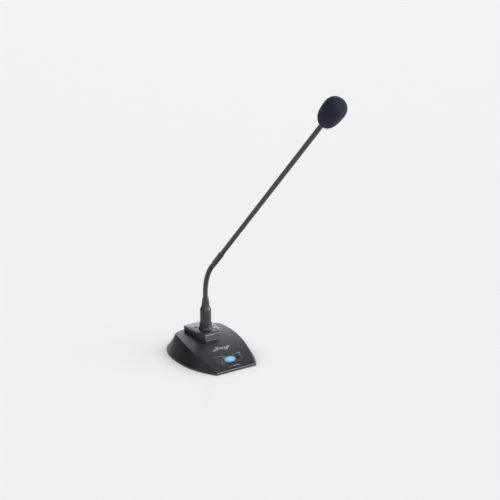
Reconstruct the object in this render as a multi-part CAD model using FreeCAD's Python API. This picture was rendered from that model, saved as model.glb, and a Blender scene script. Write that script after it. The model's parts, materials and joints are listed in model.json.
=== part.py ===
import FreeCAD, Part
import math
import os
from FreeCAD import Placement, Rotation, Vector

# A gooseneck podium microphone: a heavy desktop base with a lit talk switch, a plug-in gooseneck
# and a foam windscreen. Millimetres. The origin is on the table under the axis of the plug, +X is
# to the right as seen from the front, +Y is to the rear and +Z is up. The gooseneck leans
# forward, towards -Y and whoever speaks.

os.makedirs("parts", exist_ok=True)

# ---------------------------------------------------------------- driving dimensions
# base
PAD_THICKNESS = 1.0          # rubber pad under the bottom plate
PAD_INSET = 5.0
PLATE_TOP = 3.2              # top face of the bottom plate
FRONT_Y = -96.0              # front edge
REAR_RIM_Y = 22.0            # where the top surface levels out
FRONT_HEIGHT = 4.2           # height of the top surface at the front edge
RISE = 31.6                  # how much higher it is at REAR_RIM_Y
BULGE = 26.5                 # how strongly it curves from front to back
CROWN = 1.2                  # fall of the top surface from the middle to 50 mm out
WALL = 2.5                   # thickness of the cover
COVER_SETBACK = 0.4          # the cover stands this far inside the bottom plate's edge
WAIST_Z = 38.0               # height at which the upper outline is given
# connector block and its socket
BLOCK_TOP = 42.0
TOP_PLATE_TOP = 43.9
BLOCK_FRONT_Y = -23.0
TOP_PLATE_FRONT_Y = -21.2
BLOCK_REAR_Y = 32.5
SOCKET_R = 12.0
SOCKET_BOTTOM = 22.0
SOCKET_FLOOR = 29.0
# three-pin connectors
PLUG_R = 9.6
PLUG_BORE_R = 8.1
SOCKET_INSERT_R = 7.9
PIN_R = 1.2
PIN_CIRCLE_R = 4.76
PIN_ANGLES = (20.0, 160.0, 270.0)
# plug and gooseneck
PLUG_BOTTOM = 30.5
PLUG_TOP = 75.6
RING_TOP = 79.8
SHOULDER_TOP = 84.2
FERRULE_TOP = 100.3
NECK_R = 4.25
NECK_TILT = 44.0             # degrees from vertical after the bend
NECK_CORNER_Z = 141.1        # where the two straight runs would meet
NECK_BEND_R = 78.0
SLEEVE_START = 42.2          # distances along the upper run, from that corner
SLEEVE_STEP = 50.2           # where the flexible neck ends and the tube starts
SLEEVE_END = 73.7
SLEEVE_R = 4.9
TUBE_R = 3.95
TUBE_BORE_R = 3.1
TUBE_END = 484.0
CABLE_R = 1.1
HINGES = 10
BALL_R = 3.4                 # ball joint between two neck links
BALL_CLEARANCE = 0.12
# head
CAPSULE_R = 4.9
CAPSULE_BORE_R = 4.3
MEMBRANE_R = 3.3
CAPSULE_START = 481.5
CAPSULE_END = 508.0
GRILLE_END = 520.0
FOAM_CENTRE = 507.3
FOAM_HALF_LENGTH = 27.3
FOAM_R = 18.7
FOAM_BLUNTNESS = 2.8         # 2 gives an ellipse, more gives fuller shoulders
FOAM_TAPER = 0.1             # how much wider it is towards its far end
FOAM_CLEARANCE = 0.3
# talk switch; its heights are measured from the top surface, square to it
PANEL_Y = -75.6              # middle of the talk button
PANEL_DEPTH = 1.6
PANEL_THICKNESS = 1.0
BUTTON_A = 11.0              # half width of the oval button
BUTTON_B = 6.0               # half depth of it
BUTTON_CLEARANCE = 0.15
BEZEL_WIDTH = 1.3
POWER_LIGHT = (25.0, 9.9)    # across, and up the slope
RECORD_LIGHT = (-12.9, -14.7)
LIGHT_R = 0.9
POST_BOTTOM = -7.0
POSTS = (-14.0, 14.0)
# output connector, in a recess of the rear wall
OUTPUT_Z = 16.5
OUTPUT_SHELL_R = 9.6
RECESS_Y = 40.0
FLANGE_HALF_WIDTH = 12.8
FLANGE_HALF_HEIGHT = 11.3
# release latch
TAB_HALF_WIDTH = 2.9
TAB_FRONT_Y = 13.2
TAB_REAR_Y = 16.4
TAB_BOTTOM = 38.4
TAB_TOP = 45.3
TAB_CLEARANCE = 0.15
TAB_WELL_BOTTOM = 35.6
# circuit board
BOARD_BOTTOM = 8.0
BOARD_THICKNESS = 1.6
# fasteners
COVER_SCREWS = [(-36, -70), (36, -70), (-43, 30), (43, 30)]
COVER_SCREW_R = 1.5
COVER_SCREW_TOP = 8.5
BOSS_R = 3.6
PLATE_SCREWS = [(-12, 12), (12, -12)]
BOARD_SCREWS = [(-34, -54), (34, -54), (-34, -22), (34, -22)]
OUTPUT_SCREWS = [(-9.9, 8.5), (9.9, -8.5)]
SMALL_SCREW_R = 1.1

# half outlines of the base, on the right, from front to back
FLOOR_OUTLINE = [(39.6, FRONT_Y), (51.0, -76.3), (61.2, -50.0), (65.0, -15.0),
                 (62.5, 15.0), (51.0, 46.0), (28.0, 67.0), (0.0, 71.5)]
WAIST_OUTLINE = [(13.4, FRONT_Y), (26.8, -76.3), (39.9, -50.0), (48.0, -15.0),
                 (46.5, 16.0), (40.0, 29.0), (21.5, 33.0), (0.0, 33.5)]
BLOCK_OUTLINE = [(15.6, BLOCK_FRONT_Y), (21.0, -10.0), (24.4, 13.0), (25.8, BLOCK_REAR_Y)]
BLOCK_LEAN = 2.6             # how much narrower the block is at its foot, each side
PANEL_OUTLINE = [(-22.5, -7.9), (22.5, -7.9), (26.2, -4.3), (28.4, 10.1), (26.0, 13.1),
                 (8.0, 10.3), (-8.0, 10.3), (-26.0, 13.1), (-28.4, 10.1), (-26.2, -4.3)]

X_AXIS = Vector(1, 0, 0)
Y_AXIS = Vector(0, 1, 0)
Z_AXIS = Vector(0, 0, 1)
BIG = 200.0                  # past everything


# ---------------------------------------------------------------- helpers
def save(name, shape):
    """Write one named sub-part."""
    shape.exportStep("parts/" + name + ".step")


def group(solids):
    """Several separate solids that share one node."""
    return Part.makeCompound(solids)


def box(x0, x1, y0, y1, z0, z1):
    return Part.makeBox(x1 - x0, y1 - y0, z1 - z0, Vector(x0, y0, z0))


def rod(radius, start, end):
    """A round bar from one point to another."""
    along = end - start
    return Part.makeCylinder(radius, along.Length, start, along)


def tube(outer, inner, start, end):
    return rod(outer, start, end).cut(rod(inner, start, end))


def upright(radius, x, y, z0, z1):
    """A round bar along Z."""
    return rod(radius, Vector(x, y, z0), Vector(x, y, z1))


def screw(shank_r, head_r, x, y, z0, z1, z2):
    """A screw along Z: its shank from z0 to z1 and its head from z1 to z2."""
    return upright(shank_r, x, y, z0, z1).fuse(upright(head_r, x, y, z1, z2))


def turned(profile, x=0.0, y=0.0):
    """A body turned about a vertical axis from (radius, height) points."""
    points = [Vector(x + r, y, z) for r, z in profile]
    wire = Part.makePolygon(points + points[:1])
    return Part.Face(wire).revolve(Vector(x, y, 0), Z_AXIS, 360)


def prism(points, z0, z1):
    """A straight prism from a closed outline of (x, y) points."""
    corners = [Vector(x, y, z0) for x, y in points]
    return Part.Face(Part.makePolygon(corners + corners[:1])).extrude(Vector(0, 0, z1 - z0))


def oval(a, b, z0, z1):
    """An elliptical prism about the Z axis."""
    ellipse = Part.Ellipse(Vector(0, 0, z0), a, b)
    return Part.Face(Part.Wire(ellipse.toShape())).extrude(Vector(0, 0, z1 - z0))


def moved(shape, placement):
    result = shape.copy()
    result.Placement = placement.multiply(result.Placement)
    return result


def mirrored(points):
    """A half outline, front to back on the right, made whole on the left."""
    return points + [(-x, y) for x, y in reversed(points[:-1])]


def pin_places():
    """The three pins of a connector about the Z axis, at height 0."""
    places = []
    for angle in PIN_ANGLES:
        a = math.radians(angle)
        places.append(Vector(PIN_CIRCLE_R * math.cos(a), PIN_CIRCLE_R * math.sin(a), 0))
    return places


# ---------------------------------------------------------------- outer form of the base
def inset(points, distance):
    """Move a half outline inwards; its two ends move straight along Y."""
    result = []
    for i, (x, y) in enumerate(points):
        x0, y0 = points[max(i - 1, 0)]
        x1, y1 = points[min(i + 1, len(points) - 1)]
        length = math.hypot(x1 - x0, y1 - y0)
        result.append((x - distance * (y1 - y0) / length, y + distance * (x1 - x0) / length))
    result[0] = (result[0][0], points[0][1] + distance)
    result[-1] = (0.0, points[-1][1] - distance)
    return result


def outline_wire(points, z):
    """A smooth curve round the sides and rear, closed by a straight front edge."""
    whole = [Vector(x, y, z) for x, y in mirrored(points)]
    floor = mirrored(FLOOR_OUTLINE)
    steps = [0.0]
    for (xa, ya), (xb, yb) in zip(floor, floor[1:]):
        steps.append(steps[-1] + math.hypot(xb - xa, yb - ya))
    curve = Part.BSplineCurve()
    curve.interpolate(Points=whole, Parameters=[s / steps[-1] for s in steps])
    front = Part.LineSegment(whole[-1], whole[0])
    return Part.Wire([curve.toShape(), front.toShape()])


def top_height(x, y):
    """Height of the base's top surface."""
    t = (y - FRONT_Y) / (REAR_RIM_Y - FRONT_Y)
    fade = 1 - (1 - min(max(t, 0.0), 1.0)) ** 3
    return FRONT_HEIGHT + RISE * t + BULGE * t * (1 - t) - CROWN * fade * (x / 50.0) ** 2


def above_top(drop):
    """Everything above the top surface, or above a surface some way under it."""
    rows = []
    for x in range(-80, 81, 20):
        rows.append([Vector(x, y, top_height(x, y) - drop) for y in range(-110, 100, 10)])
    surface = Part.BSplineSurface()
    surface.interpolate(rows)
    return surface.toShape().extrude(Vector(0, 0, BIG))


def base_form(side, drop):
    """The base above its bottom plate, or a smaller form inside it."""
    floor_wire = outline_wire(inset(FLOOR_OUTLINE, side), PLATE_TOP)
    waist_wire = outline_wire(inset(WAIST_OUTLINE, side), WAIST_Z)
    return Part.makeLoft([floor_wire, waist_wire], True, True).cut(above_top(drop))


def surface_slope(y):
    """Slope of the top surface on the centre line, in degrees."""
    return math.degrees(math.atan2(top_height(0, y + 0.5) - top_height(0, y - 0.5), 1.0))


# the talk switch is modelled flat and laid on the slope
PANEL = Placement(Vector(0, PANEL_Y, top_height(0, PANEL_Y)),
                  Rotation(X_AXIS, surface_slope(PANEL_Y)))


# ---------------------------------------------------------------- talk switch
def switch_panel():
    """The sunken panel with its lit oval button and two small lights."""
    hole = oval(BUTTON_A + BEZEL_WIDTH, BUTTON_B + BEZEL_WIDTH, -9, 9)
    light = upright(LIGHT_R, *POWER_LIGHT, -9, 9)
    panel = prism(PANEL_OUTLINE, -PANEL_DEPTH, PANEL_THICKNESS - PANEL_DEPTH)
    save("control_panel", moved(panel.cut(hole).cut(light), PANEL))
    ring = oval(BUTTON_A + BEZEL_WIDTH, BUTTON_B + BEZEL_WIDTH, -2.9, -0.1)
    way = oval(BUTTON_A + BUTTON_CLEARANCE, BUTTON_B + BUTTON_CLEARANCE, -9, 9)
    save("button_bezel", moved(ring.cut(way), PANEL))
    cap = oval(BUTTON_A, BUTTON_B, -2.3, 0.5)
    crown = oval(BUTTON_A - 0.8, BUTTON_B - 0.8, 0.5, 0.9)
    stem = upright(1.9, 0, 0, -3.4, -2.3)
    save("talk_button", moved(cap.fuse(crown).fuse(stem), PANEL))
    save("power_light", moved(upright(LIGHT_R, *POWER_LIGHT, -2.5, -0.4), PANEL))
    save("record_light", moved(upright(LIGHT_R, *RECORD_LIGHT, -2.6, -0.3), PANEL))


def switch_works():
    """What is under the button: the switch, its board, two screws and two lamps."""
    save("switch_plunger", moved(upright(1.5, 0, 0, -5.4, -3.4), PANEL))
    housing = box(-3, 3, -3, 3, POST_BOTTOM, -4.4).cut(upright(1.6, 0, 0, -6.3, -4.4))
    save("switch_housing", moved(housing, PANEL))
    board = box(-17, 17, -6, 6, POST_BOTTOM - 1.0, POST_BOTTOM)
    screws = []
    for x in POSTS:
        head = upright(1.7, x, 0, POST_BOTTOM - 1.9, POST_BOTTOM - 1.0)
        shank = upright(0.9, x, 0, POST_BOTTOM - 1.0, -4.4)
        board = board.cut(shank)
        screws.append(shank.fuse(head))
    save("switch_board", moved(board, PANEL))
    save("switch_board_screws", moved(group(screws), PANEL))
    lamps = [box(x - 1.4, x + 1.4, -1.2, 1.2, POST_BOTTOM, -5.6) for x in (-7.0, 7.0)]
    save("button_leds", moved(group(lamps), PANEL))


# ---------------------------------------------------------------- base
def base_cover():
    """The cast shell, with its bosses, the switch's place and the recess at the rear."""
    cover = base_form(COVER_SETBACK, 0.0)
    shell = cover.cut(base_form(COVER_SETBACK + WALL, WALL))
    for x, y in COVER_SCREWS:
        shell = shell.fuse(upright(BOSS_R, x, y, PLATE_TOP, BIG).common(cover))
    for x in POSTS:
        shell = shell.fuse(moved(upright(2.2, x, 0, POST_BOTTOM, -1.8), PANEL))
    recess_walls = box(-18, 18, RECESS_Y - WALL, BIG, PLATE_TOP, 30.5)
    shell = shell.fuse(recess_walls.common(cover))
    shell = shell.cut(box(-15.5, 15.5, RECESS_Y, BIG, 5.0, 28.3))
    output_hole = rod(OUTPUT_SHELL_R + 0.05, Vector(0, 30, OUTPUT_Z), Vector(0, 60, OUTPUT_Z))
    shell = shell.cut(output_hole).cut(upright(SOCKET_R, 0, 0, 10, 60))
    for x, z in OUTPUT_SCREWS:
        shell = shell.cut(rod(SMALL_SCREW_R, Vector(x, 30, OUTPUT_Z + z), Vector(x, 60, OUTPUT_Z + z)))
    for x, y in COVER_SCREWS:
        shell = shell.cut(upright(COVER_SCREW_R, x, y, 0, COVER_SCREW_TOP))
    tools = [prism(PANEL_OUTLINE, -PANEL_DEPTH, 6),
             oval(BUTTON_A + BEZEL_WIDTH, BUTTON_B + BEZEL_WIDTH, -4, 6)]
    for light in (POWER_LIGHT, RECORD_LIGHT):
        tools.append(upright(LIGHT_R, *light, -6, 6))
    for x in POSTS:
        tools.append(upright(0.9, x, 0, -9, -4.4))
    for tool in tools:
        shell = shell.cut(moved(tool, PANEL))
    save("base_cover", shell.removeSplitter())


def bottom_plate():
    """The steel plate, its four countersunk screws and the rubber pad glued under it."""
    outline = Part.Face(outline_wire(FLOOR_OUTLINE, PAD_THICKNESS))
    plate = outline.extrude(Vector(0, 0, PLATE_TOP - PAD_THICKNESS))
    pad = Part.Face(outline_wire(inset(FLOOR_OUTLINE, PAD_INSET), 0))
    pad = pad.extrude(Vector(0, 0, PAD_THICKNESS))
    head_bottom = PAD_THICKNESS + 0.1
    head_top = head_bottom + 1.5
    screws = []
    for x, y in COVER_SCREWS:
        head = Part.makeCone(3.0, COVER_SCREW_R, head_top - head_bottom, Vector(x, y, head_bottom))
        body = head.fuse(upright(COVER_SCREW_R, x, y, head_top, COVER_SCREW_TOP))
        screws.append(body)
        plate = plate.cut(body).cut(upright(3.0, x, y, 0, head_bottom))
        pad = pad.cut(upright(4.0, x, y, 0, PAD_THICKNESS))
    save("bottom_plate", plate)
    save("base_screws", group(screws))
    save("rubber_pad", pad)


def ballast():
    """Two iron weights on the bottom plate, one each side of the socket."""
    right = box(19.5, 46, -14, 22, PLATE_TOP, 17)
    left = box(-46, -19.5, -14, 22, PLATE_TOP, 17)
    save("ballast_weights", group([left, right]))


def control_board():
    """The preamplifier's board on four standoffs, with its largest components."""
    top = BOARD_BOTTOM + BOARD_THICKNESS
    board = box(-38, 38, -58, -18, BOARD_BOTTOM, top)
    posts = []
    screws = []
    for x, y in BOARD_SCREWS:
        posts.append(tube(2.5, 1.0, Vector(x, y, PLATE_TOP), Vector(x, y, BOARD_BOTTOM)))
        screws.append(screw(1.0, 2.2, x, y, 4.5, top, top + 1.4))
        board = board.cut(upright(1.0, x, y, 0, top))
    save("control_board", board)
    save("board_standoffs", group(posts))
    save("board_screws", group(screws))
    amplifier = box(-9, -1, -45, -35, top, top + 1.6)
    transformer = box(8, 22, -50, -38, top, top + 5.0)
    regulator = box(6, 12, -30, -24, top, top + 2.0)
    capacitors = [upright(3.2, -20, y, top, top + 7.5) for y in (-42, -30)]
    save("board_components", group([amplifier, transformer, regulator] + capacitors))


# ---------------------------------------------------------------- connector block and socket
def block_plan(shrink, front_y, z):
    """The block's plan: straight front and rear, curved sides."""
    right = [Vector(x - shrink, y, z) for x, y in BLOCK_OUTLINE]
    right[0].y = front_y
    left = [Vector(-p.x, p.y, z) for p in reversed(right)]
    sides = []
    for side in (right, left):
        curve = Part.BSplineCurve()
        curve.interpolate(side)
        sides.append(curve.toShape())
    rear = Part.LineSegment(right[-1], left[0]).toShape()
    front = Part.LineSegment(left[-1], right[0]).toShape()
    return Part.Wire([sides[0], rear, sides[1], front])


def connector_block():
    """The raised block behind the switch, with its top plate and two screws."""
    foot = block_plan(BLOCK_LEAN, BLOCK_FRONT_Y, 26.0)
    crown = block_plan(0.0, BLOCK_FRONT_Y, BLOCK_TOP)
    block = Part.makeLoft([foot, crown], True, True).cut(base_form(COVER_SETBACK, 0.0))
    outline = Part.Face(block_plan(0.0, TOP_PLATE_FRONT_Y, BLOCK_TOP))
    plate = outline.extrude(Vector(0, 0, TOP_PLATE_TOP - BLOCK_TOP))
    tab_well = box(-TAB_HALF_WIDTH - TAB_CLEARANCE, TAB_HALF_WIDTH + TAB_CLEARANCE,
                   TAB_FRONT_Y - TAB_CLEARANCE, TAB_REAR_Y + TAB_CLEARANCE, TAB_WELL_BOTTOM, 60)
    for opening in (upright(SOCKET_R, 0, 0, 10, 60), tab_well):
        block = block.cut(opening)
        plate = plate.cut(opening)
    screws = []
    head_bottom = TOP_PLATE_TOP - 1.0
    head_top = TOP_PLATE_TOP + 0.4
    for x, y in PLATE_SCREWS:
        body = screw(1.3, 2.4, x, y, 37, head_bottom, head_top)
        block = block.cut(body)
        plate = plate.cut(body)
        screws.append(body.cut(upright(1.0, x, y, head_top - 0.8, head_top)))
    save("connector_block", block)
    save("top_plate", plate)
    save("plate_screws", group(screws))


def latch():
    """The release tab behind the plug, and the spring that lifts it."""
    save("release_tab", box(-TAB_HALF_WIDTH, TAB_HALF_WIDTH, TAB_FRONT_Y, TAB_REAR_Y,
                            TAB_BOTTOM, TAB_TOP))
    wire_r = 0.2
    coil_r = 1.1
    foot = TAB_WELL_BOTTOM + wire_r + 0.1
    rise = TAB_BOTTOM - wire_r - 0.1 - foot
    helix = Part.makeHelix(rise / 3, rise, coil_r)
    section = Part.Wire(Part.Circle(Vector(coil_r, 0, 0), Y_AXIS, wire_r).toShape())
    spring = Part.Wire(helix.Edges).makePipeShell([section], True, True)
    spring.translate(Vector(0, (TAB_FRONT_Y + TAB_REAR_Y) / 2, foot))
    save("release_spring", spring)


def socket():
    """The female three-pin connector that takes the gooseneck's plug."""
    insert_top = TOP_PLATE_TOP - 0.3
    housing = tube(SOCKET_R, PLUG_R + 0.3, Vector(0, 0, SOCKET_FLOOR), Vector(0, 0, TOP_PLATE_TOP))
    housing = housing.fuse(upright(SOCKET_R, 0, 0, SOCKET_BOTTOM, SOCKET_FLOOR))
    insert = upright(SOCKET_INSERT_R, 0, 0, SOCKET_FLOOR, insert_top)
    contacts = []
    for p in pin_places():
        tail = upright(0.8, p.x, p.y, 18.5, SOCKET_FLOOR)
        sleeve = upright(1.9, p.x, p.y, SOCKET_FLOOR, insert_top - 0.4)
        way = upright(PIN_R + 0.1, p.x, p.y, SOCKET_FLOOR + 2, insert_top)
        housing = housing.cut(tail)
        insert = insert.cut(upright(1.9, p.x, p.y, SOCKET_FLOOR, insert_top))
        contacts.append(sleeve.cut(way).fuse(tail))
    save("socket_housing", housing.removeSplitter())
    save("socket_insert", insert)
    save("socket_contacts", group(contacts))
    inner = PLUG_R + 0.2
    collar = turned([(inner, TOP_PLATE_TOP), (12.4, TOP_PLATE_TOP), (12.4, 44.7), (11.2, 46.4),
                     (10.6, 49.0), (10.4, 53.0), (10.3, 55.5), (inner, 55.5)])
    save("socket_collar", collar)


# ---------------------------------------------------------------- output connector
def output_connector():
    """The male three-pin connector that a cable plug is pushed into from behind."""
    def at(x, y, z):
        return Vector(x, y, OUTPUT_Z + z)

    front_y = 17.5
    floor_y = front_y + 2
    flange_y = RECESS_Y + 2
    shell = rod(OUTPUT_SHELL_R, at(0, front_y, 0), at(0, flange_y, 0))
    flange = box(-FLANGE_HALF_WIDTH, FLANGE_HALF_WIDTH, RECESS_Y, flange_y,
                 OUTPUT_Z - FLANGE_HALF_HEIGHT, OUTPUT_Z + FLANGE_HALF_HEIGHT)
    shell = shell.fuse(flange).cut(rod(PLUG_BORE_R, at(0, floor_y, 0), at(0, 60, 0)))
    insert = rod(PLUG_BORE_R, at(0, floor_y, 0), at(0, floor_y + 7.5, 0))
    pins = []
    for p in pin_places():
        pin = rod(PIN_R, at(p.x, front_y - 2, p.y), at(p.x, flange_y - 3, p.y))
        insert = insert.cut(pin)
        shell = shell.cut(pin)
        pins.append(pin)
    screws = []
    for x, z in OUTPUT_SCREWS:
        shank = rod(SMALL_SCREW_R, at(x, 34, z), at(x, flange_y, z))
        head = rod(1.9, at(x, flange_y, z), at(x, flange_y + 1.2, z))
        shell = shell.cut(shank)
        screws.append(shank.fuse(head))
    save("output_shell", shell.removeSplitter())
    save("output_insert", insert)
    save("output_pins", group(pins))
    save("output_screws", group(screws))


# ---------------------------------------------------------------- gooseneck
TILT = math.radians(NECK_TILT)
ALONG = Vector(0, -math.sin(TILT), math.cos(TILT))
CORNER = Vector(0, 0, NECK_CORNER_Z)
BEND_REACH = NECK_BEND_R * math.tan(TILT / 2)
BEND_START = NECK_CORNER_Z - BEND_REACH
LOWER_RUN = BEND_START - FERRULE_TOP
ARC_RUN = NECK_BEND_R * TILT
NECK_LENGTH = LOWER_RUN + ARC_RUN + SLEEVE_START - BEND_REACH


def upper(distance):
    """A point on the upper run, by its distance from the neck's corner."""
    return CORNER + ALONG * distance


def on_neck(run):
    """A point on the neck's centre line, by its distance from the top of the ferrule."""
    if run < LOWER_RUN:
        return Vector(0, 0, FERRULE_TOP + run)
    if run < LOWER_RUN + ARC_RUN:
        a = (run - LOWER_RUN) / NECK_BEND_R
        return Vector(0, NECK_BEND_R * (math.cos(a) - 1), BEND_START + NECK_BEND_R * math.sin(a))
    return upper(SLEEVE_START - NECK_LENGTH + run)


def hinge_point(index):
    """The centre of a ball joint, counted from the ferrule."""
    return on_neck(NECK_LENGTH / HINGES * (index + 0.5))


def neck():
    """Short links, each with a ball at its upper end that the next link's socket turns on."""
    lower_gap = 1.9
    upper_gap = 0.6
    root = Vector(0, 0, 88.0)
    tip = upper(SLEEVE_STEP - 0.2)
    ends = [root] + [hinge_point(i) for i in range(HINGES)] + [tip]
    names = ["neck_root"] + ["neck_link_%d" % i for i in range(1, HINGES)] + ["neck_tip"]
    for name, start, end in zip(names, ends, ends[1:]):
        axis = (end - start).normalize()
        low = start if start is root else start + axis * lower_gap
        high = end if end is tip else end - axis * upper_gap
        link = rod(NECK_R, low, high)
        if start is not root:
            link = link.cut(Part.makeSphere(BALL_R + BALL_CLEARANCE, start))
        if end is not tip:
            link = link.fuse(Part.makeSphere(BALL_R, end))
        cable_way = rod(CABLE_R + 0.3, start - axis * 5, end + axis * 5)
        save(name, link.cut(cable_way).removeSplitter())


def plug():
    """The male three-pin plug at the foot of the gooseneck, its ring and its ferrule."""
    save("plug_shell", tube(PLUG_R, PLUG_BORE_R, Vector(0, 0, PLUG_BOTTOM), Vector(0, 0, PLUG_TOP)))
    insert = upright(PLUG_BORE_R, 0, 0, 44.6, 52.0)
    pin_bottom = 33.5
    pins = []
    for p in pin_places():
        pin = upright(PIN_R, p.x, p.y, pin_bottom, 55.0)
        pin = pin.fuse(Part.makeSphere(PIN_R, p + Z_AXIS * pin_bottom))
        insert = insert.cut(pin)
        pins.append(pin)
    save("plug_insert", insert)
    save("plug_pins", group(pins))
    inner = NECK_R + 1.6
    outer = PLUG_R + 0.1
    ring = turned([(inner, PLUG_TOP), (outer, PLUG_TOP), (outer, RING_TOP), (8.0, 83.0),
                   (7.8, SHOULDER_TOP), (inner, SHOULDER_TOP)])
    save("shoulder_ring", ring)
    ferrule = turned([(NECK_R, 77.0), (inner, 77.0), (inner, SHOULDER_TOP), (7.6, SHOULDER_TOP),
                      (6.6, 89.5), (5.95, 94.5), (5.5, 99.7), (5.1, FERRULE_TOP),
                      (NECK_R, FERRULE_TOP)])
    save("neck_ferrule", ferrule)


def upper_tube():
    """The rigid tube, the sleeve that joins it to the neck, and the wire inside."""
    sleeve = tube(SLEEVE_R, TUBE_R, upper(SLEEVE_STEP), upper(SLEEVE_END))
    skirt = tube(SLEEVE_R, NECK_R, upper(SLEEVE_START), upper(SLEEVE_STEP))
    save("neck_sleeve", sleeve.fuse(skirt).removeSplitter())
    save("upper_tube", tube(TUBE_R, TUBE_BORE_R, upper(SLEEVE_STEP), upper(TUBE_END)))
    save("tube_cable", rod(CABLE_R, upper(SLEEVE_STEP - 2), upper(TUBE_END)))


def capsule():
    """The capsule in its rubber holder, its housing, its board and its slotted grille."""
    housing = tube(CAPSULE_R, TUBE_R, upper(CAPSULE_START), upper(TUBE_END))
    housing = housing.fuse(tube(CAPSULE_R, CAPSULE_BORE_R, upper(TUBE_END), upper(CAPSULE_END)))
    save("capsule_housing", housing.removeSplitter())
    save("capsule_board", tube(CAPSULE_BORE_R - 0.2, 1.0, upper(TUBE_END + 9), upper(TUBE_END + 10.2)))
    save("capsule_holder", tube(CAPSULE_BORE_R, MEMBRANE_R, upper(CAPSULE_END - 9), upper(CAPSULE_END)))
    save("capsule", rod(MEMBRANE_R, upper(CAPSULE_END - 8), upper(CAPSULE_END - 1)))
    roof = GRILLE_END - 4
    grille = tube(CAPSULE_R, CAPSULE_R - 0.5, upper(CAPSULE_END), upper(roof))
    grille = grille.fuse(rod(CAPSULE_R, upper(roof), upper(roof + 1)))
    for turn in range(6):
        across = Rotation(ALONG, 60.0 * turn).multVec(X_AXIS)
        window = upper(CAPSULE_END + 4.5)
        grille = grille.cut(rod(1.4, window + across * 3, window + across * 7))
        grille = grille.cut(rod(0.9, upper(roof - 1) + across * 2.6, upper(GRILLE_END) + across * 2.6))
    save("capsule_grille", grille.removeSplitter())


def windscreen():
    """The foam ball, bored to slip over the capsule."""
    points = []
    for step in range(25):
        turn = math.pi * step / 24
        along = math.copysign(abs(math.cos(turn)) ** (2 / FOAM_BLUNTNESS), -math.cos(turn))
        out = math.sin(turn) ** (2 / FOAM_BLUNTNESS) * (1 + FOAM_TAPER * along)
        points.append(Vector(FOAM_R * out, 0, FOAM_HALF_LENGTH * along))
    points[0].x = 0
    points[-1].x = 0
    outline = Part.BSplineCurve()
    outline.interpolate(Points=points, InitialTangent=X_AXIS, FinalTangent=-X_AXIS)
    wire = Part.Wire([outline.toShape(), Part.makeLine(points[-1], points[0])])
    ball = Part.Face(wire).revolve(Vector(0, 0, 0), Z_AXIS, 360)
    bore_end = GRILLE_END - 3 - FOAM_CENTRE + FOAM_CLEARANCE
    foam = ball.cut(upright(CAPSULE_R + FOAM_CLEARANCE, 0, 0, -50, bore_end))
    save("foam_windscreen", moved(foam, Placement(upper(FOAM_CENTRE), Rotation(X_AXIS, NECK_TILT))))


base_cover()
bottom_plate()
ballast()
control_board()
switch_panel()
switch_works()
connector_block()
latch()
socket()
output_connector()
plug()
neck()
upper_tube()
capsule()
windscreen()
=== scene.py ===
import json
import math

import bmesh
import bpy
import numpy as np
from mathutils import Matrix, Vector, noise


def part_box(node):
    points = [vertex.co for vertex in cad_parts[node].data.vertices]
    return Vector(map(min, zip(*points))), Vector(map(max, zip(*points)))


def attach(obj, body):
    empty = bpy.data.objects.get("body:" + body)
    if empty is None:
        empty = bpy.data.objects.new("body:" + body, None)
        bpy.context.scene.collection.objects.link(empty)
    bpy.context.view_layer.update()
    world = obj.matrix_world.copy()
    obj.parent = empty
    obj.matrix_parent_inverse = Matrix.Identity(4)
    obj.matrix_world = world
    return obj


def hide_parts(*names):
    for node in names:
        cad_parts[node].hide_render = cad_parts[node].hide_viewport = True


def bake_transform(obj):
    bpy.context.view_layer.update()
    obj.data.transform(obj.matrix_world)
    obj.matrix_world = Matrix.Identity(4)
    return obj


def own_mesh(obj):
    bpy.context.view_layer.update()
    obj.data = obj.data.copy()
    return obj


# The looks of a gooseneck podium microphone. Lengths in this script are millimetres in the row
# frame, and make_object turns them into metres. The front is -Y and up is +Z.

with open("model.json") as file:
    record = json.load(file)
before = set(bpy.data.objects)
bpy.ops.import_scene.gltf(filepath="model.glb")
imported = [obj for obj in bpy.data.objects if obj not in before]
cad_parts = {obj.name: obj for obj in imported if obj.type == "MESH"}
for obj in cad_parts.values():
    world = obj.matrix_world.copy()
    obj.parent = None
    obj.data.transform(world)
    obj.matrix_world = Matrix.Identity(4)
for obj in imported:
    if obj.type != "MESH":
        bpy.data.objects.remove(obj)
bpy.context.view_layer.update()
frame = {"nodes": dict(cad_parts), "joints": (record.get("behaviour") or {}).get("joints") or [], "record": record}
NODES = frame["nodes"]
JOINTS = {joint["name"]: joint for joint in frame["joints"]}
MM = 0.001


def lowest(node):
    """A CAD node's lowest corner in millimetres."""
    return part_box(node)[0] / MM


def highest(node):
    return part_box(node)[1] / MM


# ---------------- dimensions
# the base: its outlines at the floor and at the waist, on the right from front to back
PLATE_TOP = highest("bottom_plate").z
PLATE_BOTTOM = lowest("bottom_plate").z
WAIST_Z = 38.0
FRONT_Y = -96.0
REAR_RIM_Y = 22.0
FRONT_HEIGHT = 4.2
RISE = 31.6
BULGE = 26.5
CROWN = 1.2
FLOOR_OUTLINE = [(39.6, FRONT_Y), (51.0, -76.3), (61.2, -50.0), (65.0, -15.0),
                 (62.5, 15.0), (51.0, 46.0), (28.0, 67.0), (0.0, 71.5)]
WAIST_OUTLINE = [(13.4, FRONT_Y), (26.8, -76.3), (39.9, -50.0), (48.0, -15.0),
                 (46.5, 16.0), (40.0, 29.0), (21.5, 33.0), (0.0, 33.5)]
COVER_SETBACK = 0.4
WALL = 2.5
RIM_RADIUS = 1.0
FRONT_RADIUS = 0.35
SIDE_SAMPLES = 72            # from a front corner to the middle of the rear
ROW_SAMPLES = 48             # across the top surface
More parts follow.
